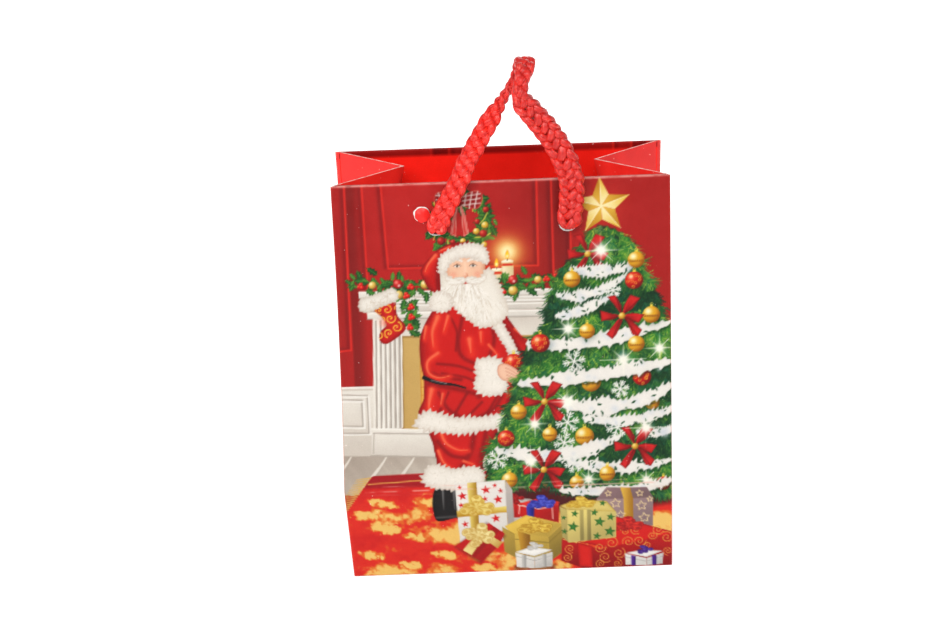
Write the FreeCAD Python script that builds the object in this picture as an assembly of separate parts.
import FreeCAD, Part
import math
import os

# A small paper gift bag that stands open, with braided cord handles knotted inside.
# Frame: +Z up, the printed front faces -Y, the origin is the middle of the base on the ground.
# "side" is -1 for the front wall and +1 for the back wall. "hand" is -1 for left, +1 for right.

Vector = FreeCAD.Vector

# Driving dimensions, mm
WIDTH = 115.0              # across the printed panels
DEPTH = 68.0               # base, front to back, and the full width of one side gusset
PANEL_LENGTH = 145.0       # along the paper, base fold to rim
MOUTH_DEPTH = 39.0         # front to back at the rim, with the gussets part folded
GUSSET_TUCK = 23.9         # how far a gusset's middle fold stands in from the side at the rim
CREASE_BULGE = 1.0         # how far the walls stand out at the crease
PAPER = 0.4
STIFFENER = 0.8            # card strip behind each rim
BOARD = 1.0                # loose card in the base
HEM_DEPTH = 32.0
STIFFENER_DEPTH = 28.0
HOLE_DIAMETER = 5.0
HOLE_BELOW_RIM = 16.0
HOLE_SPACING = 44.8
CORD_DIAMETER = 7.0        # the braid's width
NECK_DIAMETER = 4.6        # the braid squeezed through its hole
GAP = 0.3                  # between pieces that move apart

# Worked out from them
HALF_WIDTH = WIDTH / 2
HALF_BASE = DEPTH / 2
CREASE_Z = DEPTH / 2       # a base folds flat only if its crease is half its depth up
HALF_CREASE = HALF_BASE + CREASE_BULGE
HALF_MOUTH = MOUTH_DEPTH / 2
UPPER_LENGTH = PANEL_LENGTH - CREASE_Z
LEAN = math.asin((HALF_CREASE - HALF_MOUTH) / UPPER_LENGTH)
RIM_Z = CREASE_Z + UPPER_LENGTH * math.cos(LEAN)
HEM_INNER = 2 * PAPER + STIFFENER    # from a panel's outer face to its hem's inner face
HOLE_X = HOLE_SPACING / 2

os.makedirs("parts", exist_ok=True)


def save(name, shape):
    """Write one piece, after checking that it is one sound solid."""
    if not shape.isValid() or len(shape.Solids) != 1:
        raise ValueError(name + " is not one valid solid")
    shape.exportStep("parts/" + name + ".step")
    print(name, "volume", round(shape.Volume, 1), "mm3")


def wall_point(side, down, depth):
    """(y, z) of a point of an upper wall: down from the rim, depth in from the outer face."""
    y = HALF_MOUTH + down * math.sin(LEAN) - depth * math.cos(LEAN)
    z = RIM_Z - down * math.cos(LEAN) - depth * math.sin(LEAN)
    return (side * y, z)


def extrude_profile(profile, x_from, x_to):
    """A solid with the closed (y, z) profile, from x_from to x_to."""
    corners = [Vector(x_from, y, z) for y, z in profile]
    face = Part.Face(Part.makePolygon(corners + corners[:1]))
    return face.extrude(Vector(x_to - x_from, 0, 0))


def extrude_plan(plan, z_from, z_to):
    """A flat sheet with the closed (x, y) plan, from z_from to z_to."""
    corners = [Vector(x, y, z_from) for x, y in plan]
    face = Part.Face(Part.makePolygon(corners + corners[:1]))
    return face.extrude(Vector(0, 0, z_to - z_from))


def folded_sheet(corners, triangles, shift):
    """A sheet of paper bent along straight folds: the triangles, thickened by the vector shift."""
    count = len(corners)
    points = [Vector(*c) for c in corners] + [Vector(*c) + shift for c in corners]
    faces = [[a, c, b] for a, b, c in triangles]
    faces += [[a + count, b + count, c + count] for a, b, c in triangles]
    for a in range(count):
        b = (a + 1) % count
        faces += [[a, b, b + count], [a, b + count, a + count]]
    shell = Part.makeShell([
        Part.Face(Part.makePolygon([points[i] for i in face] + [points[face[0]]])) for face in faces
    ])
    solid = Part.makeSolid(shell)
    if solid.Volume < 0:
        solid.reverse()
    return solid


def hole_centre(side, hand, depth):
    """A point on a handle hole's axis, depth in from the panel's outer face."""
    y, z = wall_point(side, HOLE_BELOW_RIM, depth)
    return Vector(hand * HOLE_X, y, z)


def inward(side):
    """Unit vector into the bag, square to an upper wall."""
    return Vector(0, -side * math.cos(LEAN), -math.sin(LEAN))


def punch_holes(shape, side):
    """Cut both handle holes of one wall through a piece."""
    for hand in (-1, 1):
        start = hole_centre(side, hand, -1.0)
        drill = Part.makeCylinder(HOLE_DIAMETER / 2, HEM_INNER + 2.0, start, inward(side))
        shape = shape.cut(drill)
    return shape


# ---- walls ----

def make_front_panels():
    """The front is two pieces that hinge at the crease."""
    half_gap = GAP / 2
    lower = [
        (-HALF_BASE, 0),
        (-HALF_CREASE, CREASE_Z - half_gap),
        (-HALF_CREASE + PAPER, CREASE_Z - half_gap),
        (-HALF_BASE + PAPER, 0),
    ]
    save("front_lower_panel", extrude_profile(lower, -HALF_WIDTH, HALF_WIDTH))
    end = UPPER_LENGTH - half_gap
    upper = [wall_point(-1, 0, 0), wall_point(-1, 0, PAPER), wall_point(-1, end, PAPER), wall_point(-1, end, 0)]
    panel = extrude_profile(upper, -HALF_WIDTH, HALF_WIDTH)
    save("front_upper_panel", punch_holes(panel, -1))


def make_back_panel():
    """The back is one piece, with the same set crease."""
    profile = [
        (HALF_BASE, 0),
        (HALF_CREASE, CREASE_Z),
        wall_point(1, 0, 0),
        wall_point(1, 0, PAPER),
        (HALF_CREASE - PAPER, CREASE_Z),
        (HALF_BASE - PAPER, 0),
    ]
    panel = extrude_profile(profile, -HALF_WIDTH, HALF_WIDTH)
    save("back_panel", punch_holes(panel, 1))


def make_hem(side, name):
    """The turn-in: over the stiffener's top and down inside it."""
    half_width = HALF_WIDTH - 2.5
    leaf = PAPER + STIFFENER
    corners = [(0, PAPER), (0, HEM_INNER), (HEM_DEPTH, HEM_INNER), (HEM_DEPTH, leaf), (PAPER, leaf), (PAPER, PAPER)]
    profile = [wall_point(side, down, depth) for down, depth in corners]
    save(name, punch_holes(extrude_profile(profile, -half_width, half_width), side))


def make_stiffener(side, name):
    half_width = HALF_WIDTH - 3.0
    inner = PAPER + STIFFENER
    corners = [(PAPER, PAPER), (PAPER, inner), (STIFFENER_DEPTH, inner), (STIFFENER_DEPTH, PAPER)]
    profile = [wall_point(side, down, depth) for down, depth in corners]
    save(name, punch_holes(extrude_profile(profile, -half_width, half_width), side))


def make_seam_tab():
    """The lap that closes the blank, glued inside the back wall's left edge."""
    lap = 12.0
    edge_x = -HALF_WIDTH + 2.2
    top = HEM_DEPTH + 1.0
    bottom = UPPER_LENGTH - 1.0
    corners = [(top, PAPER), (top, 2 * PAPER), (bottom, 2 * PAPER), (bottom, PAPER)]
    profile = [wall_point(1, down, depth) for down, depth in corners]
    save("seam_tab", extrude_profile(profile, edge_x, edge_x + lap))


# ---- gussets ----

def make_upper_gusset(side, hand, name, hem_name):
    """Half a gusset above the crease: it leaves the wall's edge and folds in towards the mouth."""
    edge_x = HALF_WIDTH - 0.4
    clear = GAP / 2
    thickness = Vector(-hand * 0.5, 0, 0)
    wall_inset = PAPER + 0.05
    foot_z = CREASE_Z + GAP
    rim_z = RIM_Z - 0.1
    corners = [
        (hand * edge_x, side * (HALF_CREASE - wall_inset), foot_z),
        (hand * edge_x, side * (HALF_MOUTH - wall_inset), rim_z),
        (hand * (HALF_WIDTH - GUSSET_TUCK), side * clear, rim_z),
        (hand * edge_x, side * clear, foot_z),
    ]
    save(name, folded_sheet(corners, [(0, 2, 3), (0, 1, 2)], thickness))

    share = HEM_DEPTH / UPPER_LENGTH
    inset = 0.11
    step_in = Vector(-hand * 0.6, 0, 0)
    wall_foot, wall_rim, fold_rim, fold_foot = [Vector(*corner) for corner in corners]
    wall_low = wall_rim + (wall_foot - wall_rim) * share
    fold_low = fold_rim + (fold_foot - fold_rim) * share
    diagonal_low = fold_rim + (wall_foot - fold_rim) * share
    strip = [
        wall_low + (diagonal_low - wall_low) * inset,
        wall_rim + (fold_rim - wall_rim) * inset,
        fold_rim,
        fold_low,
        diagonal_low,
    ]
    triangles = [(0, 1, 2), (0, 2, 4), (4, 2, 3)]
    save(hem_name, folded_sheet([tuple(point + step_in) for point in strip], triangles, thickness))


def make_lower_gussets(hand, word):
    """Below the crease a gusset is three triangles, split by folds at 45 degrees."""
    outer = hand * HALF_WIDTH
    inner = hand * (HALF_WIDTH - PAPER)
    clear = GAP * 0.75
    foot = HALF_BASE - PAPER - 0.05
    top = CREASE_Z - GAP / 2
    base = [(-foot + 2 * clear, 0), (foot - 2 * clear, 0), (0, top - 2 * clear)]
    save("gusset_" + word + "_base", extrude_profile(base, outer, inner))
    for side, end in ((-1, "front"), (1, "back")):
        shoulder = foot + CREASE_BULGE
        wall = [(side * foot, clear), (side * shoulder, top), (side * clear, top)]
        save("gusset_" + word + "_" + end + "_lower", extrude_profile(wall, outer, inner))


# ---- base ----

def make_base():
    """Four glued flaps, outermost first, and the loose board on top of them."""
    half_x = HALF_WIDTH - 0.5
    half_y = HALF_BASE - PAPER - 0.4
    overlap_y = 25.0
    level = 0.0
    for name, y_from, y_to in (("back", -overlap_y, half_y), ("front", -half_y, overlap_y)):
        plan = [(-half_x, y_from), (half_x, y_from), (half_x, y_to), (-half_x, y_to)]
        save("bottom_flap_" + name, extrude_plan(plan, level, level + PAPER))
        level += PAPER
    reach = half_x - HALF_BASE + 1.0
    for name, hand in (("left", -1), ("right", 1)):
        plan = [(hand * half_x, -30.0), (hand * half_x, 30.0), (hand * reach, 18.0), (hand * reach, -18.0)]
        save("bottom_flap_" + name, extrude_plan(plan, level, level + PAPER))
    level += PAPER + 0.1
    board_x = HALF_WIDTH - 2.0
    board_y = HALF_BASE - 4.0
    plan = [(-board_x, -board_y), (board_x, -board_y), (board_x, board_y), (-board_x, board_y)]
    save("base_board", extrude_plan(plan, level, level + BOARD))


# ---- cords ----

def make_knot(side, hand, name):
    """A knot pressed against the hem, its short tail, and the neck that goes through the hole."""
    radius = 4.3
    cut = 50.0
    half_thickness = radius * math.sin(math.radians(cut))
    middle = hole_centre(side, hand, HEM_INNER + half_thickness)
    knot = Part.makeSphere(radius, middle, inward(side), -cut, cut, 360)
    neck_start = hole_centre(side, hand, -GAP)
    neck = Part.makeCylinder(NECK_DIAMETER / 2, HEM_INNER + GAP + half_thickness, neck_start, inward(side))
    tail_radius = NECK_DIAMETER / 2
    tail_start = middle - inward(side) * 0.8
    tail = Part.makeCylinder(tail_radius, 11.0, tail_start, Vector(-hand, 0, -0.25))
    save(name, knot.fuse(neck).fuse(tail))


def cord_tube(name, route):
    """A tube along the route: straight runs joined by arcs as large as the runs allow."""
    points = [Vector(*p) for p in route]
    radius = CORD_DIAMETER / 2
    edges = []
    length = 0.0
    radii = []
    start = points[0]
    for before, corner, after in zip(points, points[1:], points[2:]):
        run_in = corner - before
        run_out = after - corner
        turn = run_in.getAngle(run_out)
        cut = 0.45 * min(run_in.Length, run_out.Length)
        arc_radius = cut / math.tan(turn / 2)
        along_in = Vector(run_in).normalize()
        along_out = Vector(run_out).normalize()
        arc_start = corner - along_in * cut
        arc_end = corner + along_out * cut
        to_centre = (along_out - along_in).normalize()
        centre = corner + to_centre * (arc_radius / math.cos(turn / 2))
        middle = centre - to_centre * arc_radius
        edges.append(Part.LineSegment(start, arc_start).toShape())
        edges.append(Part.Arc(arc_start, middle, arc_end).toShape())
        length += (arc_start - start).Length + arc_radius * turn
        radii.append(round(arc_radius, 1))
        start = arc_end
    edges.append(Part.LineSegment(start, points[-1]).toShape())
    length += (points[-1] - start).Length
    path = Part.Wire(edges)
    first = (points[1] - points[0]).normalize()
    section = Part.Wire([Part.makeCircle(radius, points[0], first)])
    tube = path.makePipeShell([section], True, False)
    print(name, "length", round(length, 1), "arc radii", radii)
    print(name, "volume over section times length", round(tube.Volume / (math.pi * radius**2 * length), 4))
    for end in (points[0], points[-1]):
        tube = tube.fuse(Part.makeSphere(radius, end))
    save(name, tube)


# Handle routes. Each end is the point about which the cord turns, just outside its hole.
FRONT_ROUTE = [
    (-22.4, -26.0, 128.2),
    (-20.6, -26.9, 134.4),
    (-16.8, -26.4, 140.4),
    (-13.4, -25.4, 146.8),
    (-10.6, -24.2, 153.4),
    (-6.8, -22.6, 159.6),
    (-3.0, -20.8, 165.8),
    (1.0, -18.6, 171.4),
    (4.6, -17.0, 176.8),
    (7.4, -16.8, 182.4),
    (9.2, -21.0, 186.6),
    (9.3, -27.4, 186.8),
    (7.6, -31.8, 182.6),
    (7.0, -31.6, 176.6),
    (10.6, -29.6, 171.4),
    (14.4, -28.4, 166.2),
    (18.0, -27.6, 160.6),
    (21.2, -27.1, 154.4),
    (23.4, -27.0, 147.8),
    (24.0, -27.3, 141.0),
    (23.4, -26.9, 134.4),
    (22.4, -26.0, 128.2),
]
BACK_ROUTE = [
    (-22.4, 26.0, 128.2),
    (-23.4, 27.7, 119.6),
    (-23.8, 29.5, 108.2),
    (-22.0, 31.2, 96.6),
    (-17.2, 32.8, 86.0),
    (-9.4, 33.9, 77.8),
    (0.6, 34.4, 75.0),
    (10.6, 33.9, 77.4),
    (18.2, 32.9, 84.8),
    (22.6, 31.4, 95.4),
    (24.0, 29.6, 107.4),
    (23.6, 27.7, 119.2),
    (22.4, 26.0, 128.2),
]


def make_punched_disc():
    """The disc cut from the front left hole, still hanging by its edge beside it."""
    y, z = wall_point(-1, 11.2, -0.6)
    centre = Vector(-HOLE_X - 4.4, y, z)
    tilt = Vector(0.1, 0, -0.1)
    save("punched_disc", Part.makeCylinder(HOLE_DIAMETER / 2, PAPER, centre, tilt - inward(-1)))


make_front_panels()
make_back_panel()
for wall_side, wall_word in ((-1, "front"), (1, "back")):
    make_hem(wall_side, wall_word + "_hem")
    make_stiffener(wall_side, wall_word + "_stiffener")
    for wall_hand, hand_word in ((-1, "left"), (1, "right")):
        stem = "gusset_" + hand_word + "_" + wall_word
        make_upper_gusset(wall_side, wall_hand, stem + "_upper", stem + "_hem")
        make_knot(wall_side, wall_hand, wall_word + "_knot_" + hand_word)
make_seam_tab()
make_lower_gussets(-1, "left")
make_lower_gussets(1, "right")
make_base()
cord_tube("front_handle_cord", FRONT_ROUTE)
cord_tube("back_handle_cord", BACK_ROUTE)
make_punched_disc()
